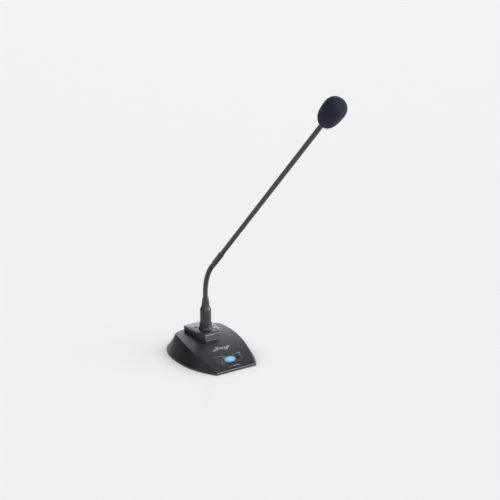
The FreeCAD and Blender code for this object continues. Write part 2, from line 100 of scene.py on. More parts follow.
# the connector block
BLOCK_OUTLINE = [(15.6, -23.0), (21.0, -10.0), (24.4, 13.0), (25.8, 32.5)]
BLOCK_LEAN = 2.6
BLOCK_FOOT_Z = 26.0
BLOCK_TOP = lowest("top_plate").z
TOP_PLATE_TOP = 43.9
TOP_PLATE_FRONT_Y = lowest("top_plate").y
SOCKET_R = 12.0
PLATE_SCREWS = ((-12, 12), (12, -12))
# the talk switch: a flat layout laid on the slope
PANEL_Y = -75.6
PANEL_OUTLINE = [(-22.5, -7.9), (22.5, -7.9), (26.2, -4.3), (28.4, 10.1), (26.0, 13.1),
                 (8.0, 10.3), (-8.0, 10.3), (-26.0, 13.1), (-28.4, 10.1), (-26.2, -4.3)]
PANEL_DEPTH = 1.6
BUTTON_A = 11.0
BUTTON_B = 6.0
BEZEL_A = 12.3
BEZEL_B = 7.3
POWER_LIGHT = (25.0, 9.9)
RECORD_LIGHT = (-12.9, -14.7)
LIGHT_R = 0.9
# output connector
RECESS_Y = 40.0
OUTPUT_R = 9.65
OUTPUT = Matrix.Translation((0, RECESS_Y, 16.5)) @ Matrix.Rotation(-math.pi / 2, 4, "X")
# plug, neck and head
PLUG_R = 9.6
PLUG_BORE_R = 8.1
PLUG_BOTTOM = lowest("plug_shell").z
PLUG_TOP = highest("plug_shell").z
RING_TOP = 79.8
SHOULDER_TOP = highest("shoulder_ring").z
FERRULE_TOP = highest("neck_ferrule").z
NECK_R = 4.25
NECK_CORNER = Vector((0, 0, 141.1))
SLEEVE_START = 42.2
SLEEVE_END = 73.7
SLEEVE_R = 4.9
TUBE_R = 3.95
TUBE_BORE_R = 3.1
TUBE_END = 484.0
CAPSULE_R = 4.9
CAPSULE_START = 481.5
CAPSULE_END = 508.0
GRILLE_END = 520.0
FOAM_CENTRE = 507.3
FOAM_HALF_LENGTH = 27.3
FOAM_R = 18.7
FOAM_BLUNTNESS = 2.8
FOAM_TAPER = 0.1
FOAM_BORE_R = 5.2
ALONG = Vector(JOINTS["windscreen_pull"]["axis"]).normalized()
TILT = math.atan2(-ALONG.y, ALONG.z)


def upper(distance):
    """A point on the neck's upper run, by its distance from the corner of the two runs."""
    return NECK_CORNER + ALONG * distance


# ---------------- curves
def spline(points, knots):
    """A smooth curve through points, as a function of the knot parameter."""
    p = np.array(points, float)
    t = np.array(knots, float)
    count = len(t)
    h = np.diff(t)

    def end_slope(times, places):
        return np.polyfit(times - times[0], places, 3)[-2]

    system = np.eye(count)
    target = np.zeros_like(p)
    target[0] = end_slope(t[:4], p[:4])
    target[-1] = end_slope(t[:-5:-1], p[:-5:-1])
    for i in range(1, count - 1):
        system[i, i - 1:i + 2] = (1 / h[i - 1], 2 / h[i - 1] + 2 / h[i], 1 / h[i])
        target[i] = 3 * ((p[i] - p[i - 1]) / h[i - 1] ** 2 + (p[i + 1] - p[i]) / h[i] ** 2)
    slopes = np.linalg.solve(system, target)

    def at(value):
        value = np.atleast_1d(np.asarray(value, float))
        i = np.clip(np.searchsorted(t, value, side="right") - 1, 0, count - 2)
        s = ((value - t[i]) / h[i])[:, None]
        step = h[i][:, None]
        return ((1 + 2 * s) * (1 - s) ** 2 * p[i] + s * (1 - s) ** 2 * step * slopes[i]
                + s * s * (3 - 2 * s) * p[i + 1] - s * s * (1 - s) * step * slopes[i + 1])

    return at


def lengths(points):
    """Distance along a chain of points, from 0 at the first."""
    steps = np.linalg.norm(np.diff(np.array(points, float), axis=0), axis=1)
    return np.concatenate([[0.0], np.cumsum(steps)])


def rounded(points, radius, closed=False, steps=4, share=0.45):
    """A chain of 2-D points with its corners rounded. radius may be a dict by corner."""
    result = []
    count = len(points)
    for i, point in enumerate(points):
        size = radius.get(i, 0.0) if isinstance(radius, dict) else radius
        if size == 0.0 or (not closed and i in (0, count - 1)):
            result.append(tuple(point))
            continue
        here = Vector(point)
        before = Vector(points[i - 1]) - here
        after = Vector(points[(i + 1) % count]) - here
        reach = min(size, share * before.length, share * after.length)
        start = here + before.normalized() * reach
        end = here + after.normalized() * reach
        for k in range(steps + 1):
            s = k / steps
            result.append(tuple(start * (1 - s) ** 2 + here * 2 * s * (1 - s) + end * s * s))
    return result


# ---------------- meshes
def tidy_mesh(obj, sharp=35.0):
    """Outward normals, smooth faces, and hard edges where the surface turns sharply."""
    work = bmesh.new()
    work.from_mesh(obj.data)
    bmesh.ops.recalc_face_normals(work, faces=work.faces)
    for face in work.faces:
        face.smooth = True
    limit = math.radians(sharp)
    for edge in work.edges:
        edge.smooth = len(edge.link_faces) == 2 and edge.calc_face_angle(0.0) < limit
    work.to_mesh(obj.data)
    work.free()
    return obj


def make_object(name, points, faces, sharp=35.0):
    """A mesh object from points in millimetres."""
    mesh = bpy.data.meshes.new(name)
    mesh.from_pydata([tuple(c * MM for c in p) for p in points], [], faces)
    obj = bpy.data.objects.new(name, mesh)
    bpy.context.scene.collection.objects.link(obj)
    return tidy_mesh(obj, sharp)


def loft(name, rings, closed=False, sharp=35.0):
    """A skin over rings of equal length; its ends are capped, or joined if closed.
    A ring of one point is a pole."""
    points = []
    starts = []
    for ring in rings:
        starts.append(len(points))
        points.extend(tuple(p) for p in ring)
    faces = []
    pairs = list(zip(range(len(rings)), range(1, len(rings))))
    if closed:
        pairs.append((len(rings) - 1, 0))
    for a, b in pairs:
        count = max(len(rings[a]), len(rings[b]))
        for i in range(count):
            j = (i + 1) % count
            if len(rings[a]) == 1:
                faces.append((starts[a], starts[b] + i, starts[b] + j))
            elif len(rings[b]) == 1:
                faces.append((starts[a] + i, starts[a] + j, starts[b]))
            else:
                faces.append((starts[a] + i, starts[a] + j, starts[b] + j, starts[b] + i))
    if not closed:
        for k in (0, len(rings) - 1):
            if len(rings[k]) > 1:
                faces.append(tuple(range(starts[k], starts[k] + len(rings[k]))))
    return make_object(name, points, faces, sharp)


def circle(radius, height, place, segments):
    ring = []
    for k in range(segments):
        a = 2 * math.pi * k / segments
        ring.append(place @ Vector((radius * math.cos(a), radius * math.sin(a), height)))
    return ring


def lathe(name, profile, place=Matrix.Identity(4), closed=False, segments=96, sharp=35.0):
    """A body turned about its own Z axis from (radius, height) points."""
    rings = []
    for radius, height in profile:
        if radius < 1e-6:
            rings.append([place @ Vector((0, 0, height))])
        else:
            rings.append(circle(radius, height, place, segments))
    return loft(name, rings, closed, sharp)


def on_tube(distance):
    """The place of a turned piece on the upper run."""
    return Matrix.Translation(upper(distance)) @ Matrix.Rotation(TILT, 4, "X")


def cut(obj, tool, operation="DIFFERENCE"):
    """Apply a boolean and drop the tool."""
    modifier = obj.modifiers.new("cut", "BOOLEAN")
    modifier.operation = operation
    modifier.solver = "EXACT"
    modifier.object = tool
    bpy.context.view_layer.update()
    result = bpy.data.meshes.new_from_object(
        obj.evaluated_get(bpy.context.evaluated_depsgraph_get()))
    obj.modifiers.remove(modifier)
    obj.data = result
    bpy.data.objects.remove(tool)
    return obj


def prism(name, outline, z0, z1, place=Matrix.Identity(4)):
    """A straight prism of a 2-D outline."""
    return loft(name, [[place @ Vector((*p, z)) for p in outline] for z in (z0, z1)])


def drill(obj, outline, z0, z1, place=Matrix.Identity(4)):
    """Cut a straight hole of a 2-D outline."""
    return cut(obj, prism("hole", outline, z0, z1, place))


def ellipse(a, b, segments=72):
    return [(a * math.cos(2 * math.pi * k / segments), b * math.sin(2 * math.pi * k / segments))
            for k in range(segments)]


def box_points(x0, x1, y0, y1):
    return [(x0, y0), (x1, y0), (x1, y1), (x0, y1)]


def join(name, parts):
    """Several meshes as one object."""
    work = bmesh.new()
    for part in parts:
        work.from_mesh(part.data)
    mesh = bpy.data.meshes.new(name)
    work.to_mesh(mesh)
    work.free()
    for part in parts:
        bpy.data.objects.remove(part)
    obj = bpy.data.objects.new(name, mesh)
    bpy.context.scene.collection.objects.link(obj)
    return tidy_mesh(obj)


# ---------------- form of the base
def top_height(x, y):
    """Height of the base's top surface."""
    t = (y - FRONT_Y) / (REAR_RIM_Y - FRONT_Y)
    fade = 1 - (1 - min(max(t, 0.0), 1.0)) ** 3
    return FRONT_HEIGHT + RISE * t + BULGE * t * (1 - t) - CROWN * fade * (x / 50.0) ** 2


def inset(points, distance):
    """Move a half outline inwards; its two ends move straight along Y."""
    result = []
    for i, (x, y) in enumerate(points):
        x0, y0 = points[max(i - 1, 0)]
        x1, y1 = points[min(i + 1, len(points) - 1)]
        length = math.hypot(x1 - x0, y1 - y0)
        result.append((x - distance * (y1 - y0) / length, y + distance * (x1 - x0) / length))
    result[0] = (result[0][0], points[0][1] + distance)
    result[-1] = (0.0, points[-1][1] - distance)
    return result


def mirrored(points):
    return points + [(-x, y) for x, y in reversed(points[:-1])]


def half_outline(points, samples=SIDE_SAMPLES):
    """The smooth right half of an outline, from the front corner to the middle of the rear."""
    knots = lengths(mirrored(FLOOR_OUTLINE))
    curve = spline(mirrored(points), knots / knots[-1])
    return curve(np.linspace(0.0, 0.5, samples + 1))


def whole_loop(half, front):
    """A closed loop from its right half and the points of its front edge, left to right."""
    left = [Vector((-p.x, p.y, p.z)) for p in reversed(half[:-1])]
    return list(half) + left + list(front)


def on_side(low, high, t):
    """A point up a straight line of the side wall, from the floor (0) to the waist (1)."""
    x, y = low + (high - low) * t
    return Vector((x, y, PLATE_TOP + (WAIST_Z - PLATE_TOP) * t))


def rim_share(low, high, drop):
    """How far up its line the side wall meets the top surface."""
    under = -0.2
    over = 1.4
    for _ in range(40):
        middle = (under + over) / 2
        point = on_side(low, high, middle)
        if point.z < top_height(point.x, point.y) - drop:
            under = middle
        else:
            over = middle
    return under


def base_block(name, side, drop, bottom, radius):
    """The base above a given height as a closed body with a rounded rim.
    side sets its wall back, and drop lowers its top surface."""
    lows = half_outline(inset(FLOOR_OUTLINE, side))
    highs = half_outline(inset(WAIST_OUTLINE, side))
    shares = [rim_share(a, b, drop) for a, b in zip(lows, highs)]
    rims = [on_side(a, b, t) for a, b, t in zip(lows, highs, shares)]
    last = len(rims) - 1
    wall = [[] for _ in range(10)]
    arc = [[] for _ in range(4)]
    ends = []
    for i, rim in enumerate(rims):
        ahead = rims[min(i + 1, last)] - rims[max(i - 1, 0)]
        inward = Vector((-ahead.y, ahead.x, 0)).normalized()
        r = max(min(radius, 0.3 * (rim.z - PLATE_TOP)), 0.05)
        if i == 0:
            inward = Vector((-1, FRONT_RADIUS / r, 0))
        elif i == last:
            inward = Vector((0, -1, 0))
        start = on_side(lows[i], highs[i], shares[i] - 0.9 * r / (WAIST_Z - PLATE_TOP))
        end = rim + inward * r
        end.z = top_height(end.x, end.y) - drop
        ends.append(end)
        foot = on_side(lows[i], highs[i], (bottom - PLATE_TOP) / (WAIST_Z - PLATE_TOP))
        for k, row in enumerate(wall):
            row.append(foot.lerp(start, k / (len(wall) - 1)))
        for k, row in enumerate(arc):
            s = (k + 1) / (len(arc) + 1)
            row.append(start * (1 - s) ** 2 + rim * 2 * s * (1 - s) + end * s * s)

    points = []
    faces = []
    for row in wall + arc:
        corner = row[0]
        shares = [2 * k / ROW_SAMPLES - 1 for k in range(1, ROW_SAMPLES)]
        points.extend(whole_loop(row, [Vector((corner.x * s, corner.y, corner.z)) for s in shares]))
    count = 2 * last + ROW_SAMPLES
    faces.append(tuple(range(count)))
    for r in range(len(wall + arc) - 1):
        for i in range(count):
            j = (i + 1) % count
            faces.append((r * count + i, r * count + j, (r + 1) * count + j, (r + 1) * count + i))
    # the top surface: straight rows from right to left, ending in a point at the rear
    rim_start = len(points) - count
    grid = []
    for end in ends[:-1]:
        row = []
        for k in range(ROW_SAMPLES + 1):
            x = end.x * (1 - 2 * k / ROW_SAMPLES)
            row.append(len(points))
            points.append(Vector((x, end.y, top_height(x, end.y) - drop)))
        grid.append(row)
    grid.append([len(points)] * (ROW_SAMPLES + 1))
    points.append(ends[-1])
    for a, b in zip(grid, grid[1:]):
        for k in range(ROW_SAMPLES):
            face = (a[k], a[k + 1], b[k + 1], b[k])
            faces.append(face if b[k] != b[k + 1] else face[:3])
    for i in range(last):
        right = rim_start + i
        left = rim_start + 2 * last - i
        faces.append((right, right + 1, grid[i + 1][0], grid[i][0]))
        faces.append((left, left - 1, grid[i + 1][-1], grid[i][-1]))
    for k in range(ROW_SAMPLES):
        a = rim_start + (count - k) % count
        b = rim_start + count - k - 1
        faces.append((a, b, grid[0][k + 1], grid[0][k]))

    return make_object(name, points, faces, 40.0)


def surface_slope(y):
    return math.atan2(top_height(0, y + 0.5) - top_height(0, y - 0.5), 1.0)


PANEL = (Matrix.Translation((0, PANEL_Y, top_height(0, PANEL_Y)))
         @ Matrix.Rotation(surface_slope(PANEL_Y), 4, "X"))


# ---------------- materials
class Graph:
    """A node tree in the making."""

    def __init__(self, tree):
        self.nodes = tree.nodes
        self.links = tree.links

    def fill(self, target, value):
        """Set an input to a plain value, or link it to a socket."""
        if isinstance(value, bpy.types.NodeSocket):
            self.links.new(value, target)
        else:
            target.default_value = value

    def node(self, kind, **inputs):
        node = self.nodes.new("ShaderNode" + kind)
        for key, value in inputs.items():
            self.fill(node.inputs[key.replace("_", " ")], value)
        return node

    def math(self, operation, a, b):
        node = self.node("Math")
        node.operation = operation
        self.fill(node.inputs[0], a)
        self.fill(node.inputs[1], b)
        return node.outputs["Value"]


class Paint(Graph):
    """A material in the making: one principled shader and the textures that feed it."""

    def __init__(self, name, roughness, **values):
        self.material = bpy.data.materials.new(name)
        self.material.use_nodes = True
        super().__init__(self.material.node_tree)
        self.shader = self.nodes["Principled BSDF"]
        self.shader.inputs["Roughness"].default_value = roughness
        for key, value in values.items():
            self.shader.inputs[key.replace("_", " ")].default_value = value
        self.place = self.node("TexCoord").outputs["Object"]
        self.normal = None

    def feed(self, socket, source):
        self.links.new(source, self.shader.inputs[socket])

    def texture(self, kind, scale, **values):
        return self.node("Tex" + kind, Vector=self.place, Scale=scale, **values)

    def stretch(self, x, y, z):
        """Textures made after this are squeezed by these factors."""
        self.place = self.node("Mapping", Vector=self.place, Scale=(x, y, z)).outputs["Vector"]

    def ramp(self, source, low, high):
        """A colour that goes from one tone to another; each is a position and a colour."""
        node = self.node("ValToRGB", Fac=source)
        for stop, (position, colour) in zip(node.color_ramp.elements, (low, high)):
            stop.position = position
            stop.color = (*colour, 1.0)
        return node.outputs["Color"]

    def mix(self, factor, a, b):
        """Blend two colours by a factor, each a socket or a plain colour."""
        a, b = [(*c, 1.0) if isinstance(c, tuple) else c for c in (a, b)]
        return self.node("MixRGB", Fac=factor, Color1=a, Color2=b).outputs["Color"]

    def span(self, source, low, high, start=0.0, end=1.0):
        """Map start to end onto low to high."""
        return self.node("MapRange", Value=source, From_Min=start, From_Max=end,
                         To_Min=low, To_Max=high).outputs["Result"]

    def bump(self, source, depth_mm, strength=1.0):
        under = {"Normal": self.normal} if self.normal else {}
        self.normal = self.node("Bump", Distance=depth_mm * MM, Strength=strength,
                                Height=source, **under).outputs["Normal"]
        self.feed("Normal", self.normal)

    def wear(self, colour, worn, amount=0.5):
        """Lighter worn metal along outer edges."""
        edge = self.node("NewGeometry").outputs["Pointiness"]
        patch = self.texture("Noise", 260.0, Detail=6.0).outputs["Fac"]
        both = self.math("MULTIPLY", self.span(edge, 0.0, amount, 0.53, 0.60),
                         self.span(patch, 0.0, 1.0, 0.45, 0.7))
        return self.mix(both, colour, worn)


def tones(colour, spread):
    """A darker and a lighter tone of a colour."""
    return [tuple(c * (1 - spread) for c in colour), tuple(c * (1 + spread) for c in colour)]


def coated(name, colour, roughness, grain_mm, depth_mm, worn=None, spread=0.18, **values):
    """Painted or moulded: fine grain, broad tone changes and uneven gloss."""
    paint = Paint(name, roughness, **values)
    dark, light = tones(colour, spread)
    broad = paint.texture("Noise", 45.0, Detail=3.0).outputs["Fac"]
    base = paint.ramp(broad, (0.3, dark), (0.7, light))
    if worn:
        base = paint.wear(base, worn)
    paint.feed("Base Color", base)
    smear = paint.texture("Noise", 120.0, Detail=5.0, Distortion=0.6).outputs["Fac"]
    paint.feed("Roughness", paint.span(smear, roughness - 0.05, roughness + 0.06, 0.3, 0.7))
    grain = paint.texture("Noise", 1000.0 / grain_mm, Detail=2.0).outputs["Fac"]
    paint.bump(grain, depth_mm)
    return paint


def brushed(name, colour, roughness, axis="z", **values):
    """Turned or drawn metal with fine lines round its length."""
    paint = Paint(name, roughness, Metallic=1.0, **values)
    dark, light = tones(colour, 0.12)
    factors = {"x": (9.0, 1.0, 1.0), "y": (1.0, 9.0, 1.0), "z": (1.0, 1.0, 9.0)}[axis]
    paint.stretch(*factors)
    lines = paint.texture("Noise", 900.0, Detail=4.0).outputs["Fac"]
    paint.feed("Base Color", paint.ramp(lines, (0.25, dark), (0.75, light)))
    paint.feed("Roughness", paint.span(lines, roughness - 0.06, roughness + 0.08, 0.3, 0.7))
    paint.bump(lines, 0.006)
    return paint


def foam_material():
    """Open-cell foam: holes of two sizes, with painted shade darkening their depths, and a soft sheen."""
    paint = Paint("foam", 0.95, Sheen_Weight=0.12, Sheen_Roughness=0.6,
                  Sheen_Tint=(0.6, 0.65, 0.9, 1.0), Specular_IOR_Level=0.1)
    cells = paint.texture("Voronoi", 1500.0, Randomness=1.0).outputs["Distance"]
    coarse = paint.texture("Voronoi", 620.0, Randomness=1.0).outputs["Distance"]
    cloud = paint.texture("Noise", 60.0, Detail=4.0).outputs["Fac"]
    # The ramp paints shade into the pits of the cells, darkest at their middles.
    pore_shade = paint.ramp(cells, (0.12, (0.0035, 0.0038, 0.0055)), (0.75, (0.015, 0.016, 0.0225)))
    paint.feed("Base Color", paint.mix(paint.span(cloud, 0.0, 0.35, 0.35, 0.7), pore_shade,
                                       (0.021, 0.0215, 0.027)))
    paint.bump(coarse, 0.35, 0.8)
    paint.bump(cells, 0.3, 0.9)
    return paint


def lens_material(name, colour, edge, strength, middle, reach):
    """A lit plastic lens, brightest at its middle and fading over its reach."""
    paint = Paint(name, 0.22, Coat_Weight=0.35, Coat_Roughness=0.12)
    spot = paint.node("Mapping", Vector=paint.place, Scale=[1 / (r * MM) for r in reach],
                      Location=[-c / r for c, r in zip(middle, reach)])
    fall = paint.node("TexGradient", Vector=spot.outputs["Vector"])
    fall.gradient_type = "SPHERICAL"
    cloud = paint.texture("Noise", 160.0, Detail=2.0).outputs["Fac"]
    light = paint.ramp(cloud, (0.35, tuple(0.93 * c for c in colour)), (0.65, colour))
    glow = paint.mix(paint.span(fall.outputs["Fac"], 0.0, 1.0, 0.0, 0.6), edge, light)
    paint.feed("Base Color", glow)
    paint.feed("Emission Color", glow)
    paint.shader.inputs["Emission Strength"].default_value = strength
    return paint


def on_panel(x, y):
    return tuple(PANEL @ Vector((x, y, 0)))


def circuit_board():
    """Green solder mask over a maze of copper tracks."""
    paint = Paint("circuit_board", 0.32, Coat_Weight=0.3, Coat_Roughness=0.2)
    tracks = paint.texture("Brick", 240.0, Mortar_Size=0.03, Mortar=(0.03, 0.16, 0.05, 1.0),
                           Color1=(0.012, 0.085, 0.03, 1.0), Color2=(0.015, 0.1, 0.036, 1.0))
    weave = paint.texture("Noise", 700.0, Detail=3.0).outputs["Fac"]
    paint.feed("Base Color", tracks.outputs["Color"])
    paint.bump(tracks.outputs["Fac"], 0.03)
    paint.bump(weave, 0.005)
    return paint


BLACK = (0.012, 0.0125, 0.014)
COATED = {      # colour, roughness, size and depth of the grain in mm, worn colour
    "base_paint": ((0.0135, 0.0140, 0.0155), 0.36, 0.45, 0.012, (0.06, 0.06, 0.062)),
    "plate_edge": ((0.022, 0.022, 0.024), 0.34, 0.5, 0.012, (0.12, 0.12, 0.12)),
    "block_paint": ((0.050, 0.051, 0.057), 0.42, 0.45, 0.012, (0.08, 0.08, 0.085)),
    "block_plate": ((0.020, 0.0205, 0.022), 0.34, 0.5, 0.010, (0.1, 0.1, 0.1)),
    # Light paint for thin bars that stand as painted highlights on the block's front edges and the panel's rim.
    "edge_highlight_paint": ((0.23, 0.23, 0.25), 0.35, 0.5, 0.006),
    "rubber": ((0.016, 0.016, 0.016), 0.8, 0.6, 0.06),
    "black_plastic": (BLACK, 0.45, 0.5, 0.02),
    "panel_gloss": ((0.024, 0.0245, 0.027), 0.44, 0.5, 0.006),
    "printed_mark": ((0.40, 0.405, 0.42), 0.4, 0.3, 0.004),
    "plug_black": ((0.0225, 0.021, 0.0245), 0.33, 0.3, 0.012, (0.09, 0.09, 0.095)),
    "neck_black": ((0.0235, 0.0225, 0.0225), 0.38, 0.3, 0.012),
    "tube_black": ((0.0225, 0.021, 0.0235), 0.42, 0.35, 0.016, (0.07, 0.07, 0.07)),
    "black_screw": (BLACK, 0.35, 0.25, 0.01, (0.1, 0.1, 0.1)),
    # Darker than the other black screws: painted extra shade on screw heads set down in their seats.
    "shaded_sunk_screw": ((0.008, 0.008, 0.009), 0.55, 0.25, 0.01),
    "components": ((0.02, 0.02, 0.022), 0.4, 0.4, 0.02),
    "ballast": ((0.11, 0.105, 0.1), 0.7, 1.4, 0.12, None, 0.35),
}
BRUSHED = {     # colour, roughness, direction of the lines
    # Metal for the strip that stands as a painted highlight along the base's front lip.
    "painted_lip_highlight": ((0.20, 0.20, 0.215), 0.32, "x"),
    "steel_screw": ((0.55, 0.55, 0.56), 0.3),
    "silver_contact": ((0.78, 0.77, 0.74), 0.22, "y"),
    "brass": ((0.75, 0.55, 0.24), 0.28),
    "capsule_metal": ((0.72, 0.73, 0.75), 0.3, "x"),
}
LENSES = {      # colour, edge colour, strength, middle, reach
    "button_lens": ((0.125, 0.345, 0.425), (0.03, 0.09, 0.115), 0.6, on_panel(0, 0),
                    (13.0, 8.0, 8.0)),
    "white_light": ((0.6, 0.62, 0.65), (0.3, 0.32, 0.35), 0.4, on_panel(*POWER_LIGHT),
                    (1.2, 1.2, 1.2)),
    "red_light": ((0.25, 0.02, 0.045), (0.12, 0.01, 0.02), 0.2, on_panel(*RECORD_LIGHT),
                  (1.2, 1.2, 1.2)),
}
MATERIALS = {
    **{name: coated(name, *row) for name, row in COATED.items()},
    **{name: brushed(name, *row) for name, row in BRUSHED.items()},
    **{name: lens_material(name, *row) for name, row in LENSES.items()},
    "bezel": coated("bezel", (0.006, 0.030, 0.055), 0.35, 0.6, 0.005,
                    Emission_Color=(0.004, 0.03, 0.07, 1.0), Emission_Strength=0.5),
    "circuit_board": circuit_board(),
    "foam": foam_material(),
}


def finish_ring(name, profile, radius, body, slot, node, place=Matrix.Identity(4), segments=96):
    """A closed turned ring with rounded edges, finished."""
    ring = lathe(name, rounded(profile, radius, True), place, True, segments)
    return finish_as(ring, body, slot, node)


def finish_as(obj, body, slot, *replaced, material=None):
    """Give a piece its material, its body and the CAD nodes that it stands for."""
    obj.data.materials.clear()
    obj.data.materials.append(MATERIALS[material or slot].material)
    if replaced:
        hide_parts(*replaced)
    if body:
        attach(obj, body)
    return obj


# ---------------- base pieces
def base_shell():
    """The cast cover: hollow, with a rounded rim and cut-outs for the switch and sockets."""
    shell = base_block("base_shell", COVER_SETBACK, 0.0, PLATE_TOP, RIM_RADIUS)
    cavity = base_block("cavity", COVER_SETBACK + WALL, WALL, PLATE_TOP - 1, 0.6)
    cut(shell, drill(cavity, box_points(-18, 18, RECESS_Y - WALL, 90), 0, 30.5))
    drill(shell, rounded(box_points(-15.5, 15.5, RECESS_Y, 90), 1.5, True), 5.0, 28.3)
    drill(shell, ellipse(OUTPUT_R, OUTPUT_R), -10, 20, OUTPUT)
    drill(shell, ellipse(SOCKET_R, SOCKET_R), 10, 60)
    drill(shell, rounded(PANEL_OUTLINE, 2.0, True), -PANEL_DEPTH, 6, PANEL)
    drill(shell, ellipse(BEZEL_A, BEZEL_B), -4, 6, PANEL)
    for x, y in (POWER_LIGHT, RECORD_LIGHT):
        drill(shell, ellipse(LIGHT_R, LIGHT_R, 24), -6, 6, PANEL @ Matrix.Translation((x, y, 0)))
    finish_as(tidy_mesh(shell, 32.0), "base", "base_paint", "base_cover")


def skirt(name, levels, closed=False):
    """A ring round the base's foot, from (height, set-back) levels."""
    rings = []
    for z, distance in levels:
        points = [Vector((x, y, z)) for x, y in half_outline(inset(FLOOR_OUTLINE, distance), 90)]
        front = [Vector((points[0].x * s, points[0].y, z)) for s in np.linspace(-1, 1, 25)[1:-1]]
        rings.append(whole_loop(points, front))
    return loft(name, rings, closed)


def bottom_edge():
    """The steel plate whose edge shows under the cover, and the rubber lip below it."""
    levels = ((PLATE_BOTTOM, 0.52), (PLATE_BOTTOM + 0.12, 0.17), (PLATE_BOTTOM + 0.5, 0.02),
              (PLATE_TOP - 0.4, 0.02), (PLATE_TOP - 0.1, 0.14), (PLATE_TOP, 0.42))
    finish_as(skirt("bottom_edge", levels), "base", "plate_edge", "bottom_plate")
    levels = ((PLATE_BOTTOM, 0.3), (0.5, 0.2), (0.12, 0.25), (0.02, 0.5), (0.02, 4.0),
              (PLATE_BOTTOM, 4.0))
    finish_as(skirt("rubber_lip", levels, True), "base", "rubber")


def block_half(shrink, front_y, samples=12):
    """The right side of the block's plan, front to rear."""
    points = [(x - shrink, y) for x, y in BLOCK_OUTLINE]
    points[0] = (points[0][0], front_y)
    curve = spline(points, lengths(points))
    return curve(np.linspace(0, lengths(points)[-1], samples + 1))


def block_loop(shrink, front_y, radius, rear_radius=4.0):
    """The block's plan with its corners rounded, the rear ones more."""
    right = [tuple(p) for p in block_half(shrink, front_y)]
    loop = right + [(-x, y) for x, y in reversed(right)]
    last = len(right) - 1
    corners = {0: radius, last: rear_radius, last + 1: rear_radius, len(loop) - 1: radius}
    return rounded(loop, corners, True, 6, 0.95)


def spread_loop(loop, count):
    """The same closed loop with evenly spaced points."""
    points = np.array(loop + loop[:1], float)
    along = lengths(points)
    places = np.linspace(0, along[-1], count, endpoint=False)
    return [Vector((np.interp(s, along, points[:, 0]), np.interp(s, along, points[:, 1])))
            for s in places]


def grown(loop, distance):
    """Move a loop of evenly spaced points outwards, or inwards if negative."""
    result = []
    for i, point in enumerate(loop):
        along = (loop[(i + 1) % len(loop)] - loop[i - 1]).normalized()
        result.append(point + Vector((along.y, -along.x)) * distance)
    return result


def layers(outline, levels, place=Matrix.Identity(4)):
    """Rings of an outline, from (height, set-back) levels."""
    return [[place @ Vector((*p, z)) for p in grown(outline, -shrink)] for z, shrink in levels]


def socket_holes(obj, screw_r, segments):
    """The openings for the socket, the release tab and the two plate screws."""
    drill(obj, ellipse(SOCKET_R, SOCKET_R, 96), 10, 60)
    drill(obj, box_points(-3.05, 3.05, 13.05, 16.55), 35.6, 60)
    for x, y in PLATE_SCREWS:
        drill(obj, [(x + p, y + q) for p, q in ellipse(screw_r, screw_r, segments)], 37, 60)


def connector_block():
    """The raised block under the socket; its foot follows the slope of the base."""
    count = 220
    head = spread_loop(block_loop(0.0, BLOCK_OUTLINE[0][1], 0.8), count)
    foot = spread_loop(block_loop(BLOCK_LEAN, BLOCK_OUTLINE[0][1] + 0.01, 0.8), count)
    rings = [[] for _ in range(7)]
    for a, b in zip(foot, head):
        low = Vector((a.x, a.y, BLOCK_FOOT_Z))
        high = Vector((b.x, b.y, BLOCK_TOP))
        t = 0.5
        for _ in range(20):
            p = low.lerp(high, t)
            t += (top_height(p.x, p.y) - 0.3 - p.z) / (BLOCK_TOP - BLOCK_FOOT_Z)
        base = low.lerp(high, t)
        for k, ring in enumerate(rings):
            ring.append(base.lerp(high - Vector((0, 0, 0.5)), k / (len(rings) - 1)))
    rings += layers(head, ((BLOCK_TOP - 0.2, 0.07), (BLOCK_TOP - 0.05, 0.22), (BLOCK_TOP, 0.5)))
    block = loft("connector_block_body", rings)
    socket_holes(block, 1.3, 24)
    finish_as(tidy_mesh(block, 32.0), "base", "block_paint", "connector_block")

    plan = spread_loop(block_loop(0.0, TOP_PLATE_FRONT_Y, 1.2), count)
    plate = loft("socket_plate", layers(plan, (
        (BLOCK_TOP, 0.25), (BLOCK_TOP + 0.25, 0.0), (TOP_PLATE_TOP - 0.45, 0.0),
        (TOP_PLATE_TOP - 0.13, 0.1), (TOP_PLATE_TOP, 0.42))))
    socket_holes(plate, 2.5, 36)
    finish_as(tidy_mesh(plate, 32.0), "base", "block_plate", "top_plate")


def hexagon(radius, segments):
    """A hexagonal socket outline with as many points as a round one."""
    points = []
    for k in range(segments):
        a = 2 * math.pi * k / segments
        side = (a + math.pi / 6) % (math.pi / 3) - math.pi / 6
        reach = radius * math.cos(math.pi / 6) / math.cos(side)
        points.append((reach * math.cos(a), reach * math.sin(a)))
    return points


def cap_screw(name, place, head_r, head_height, shank_r, shank_length, socket_r):
    """A button-head screw with a hexagonal socket; its seat is at height 0."""
    segments = 48
    body = ((shank_r * 0.7, -shank_length), (shank_r, -shank_length + 0.4), (shank_r, 0),
            (head_r - 0.1, 0), (head_r, 0.12), (head_r, head_height * 0.45),
            (head_r * 0.86, head_height * 0.82), (head_r * 0.66, head_height))
    socket = ((socket_r * 1.06, head_height), (socket_r, head_height - 0.08),
              (socket_r, head_height * 0.35))
    rings = [circle(radius, height, place, segments) for radius, height in body]
    rings += [[place @ Vector((x, y, height)) for x, y in hexagon(radius, segments)]
              for radius, height in socket]
    return loft(name, rings)


def bar(name, a, b, half_width, proud, out):
    """A slim bar from a to b with a softened face, standing proud in the direction out."""
    side = (b - a).normalized().cross(out)
    rings = []
    for end in (a, b):
        ring = []
        for across, rise in ((-1, -0.3), (1, -0.3), (1, 0.6), (0.6, 1.0), (-0.6, 1.0), (-1, 0.6)):
            ring.append(end + side * across * half_width + out * rise * proud)
        rings.append(ring)
    return loft(name, rings, sharp=50.0)


